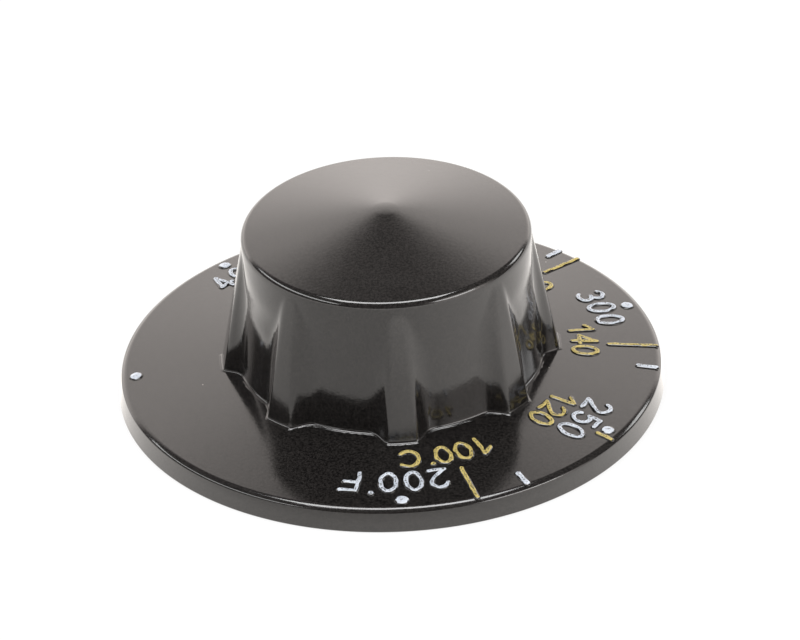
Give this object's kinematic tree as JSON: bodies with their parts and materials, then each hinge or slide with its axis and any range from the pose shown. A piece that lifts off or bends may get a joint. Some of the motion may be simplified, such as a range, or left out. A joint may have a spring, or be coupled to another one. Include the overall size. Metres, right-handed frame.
{
  "type": "fryer thermostat knob",
  "caption": "Round black dial knob: a sloped flange with raised scale marks and a tapered ribbed grip with a shallow crown, hollow underneath, with a hub and D socket.",
  "frame": {"origin": "on the shaft axis, in the plane of the flange's underside", "axes": "+Z along the shaft axis, out of the appliance toward the user; -X toward the off dot; the white scale runs counter-clockwise, seen from above, from 200 near -Y"},
  "size_m": [0.0762, 0.0762, 0.0282],
  "materials": {
    "phenolic": "glossy black moulded phenolic",
    "spring_steel": "plain spring steel strip",
    "white_ink": "slightly bluish white stamped ink",
    "yellow_ink": "mustard yellow stamped ink"
  },
  "bodies": {
    "root": {"knob_body": "phenolic", "shaft_clip": "spring_steel", "white_marks": "white_ink", "yellow_marks": "yellow_ink"}
  },
  "joints": []
}
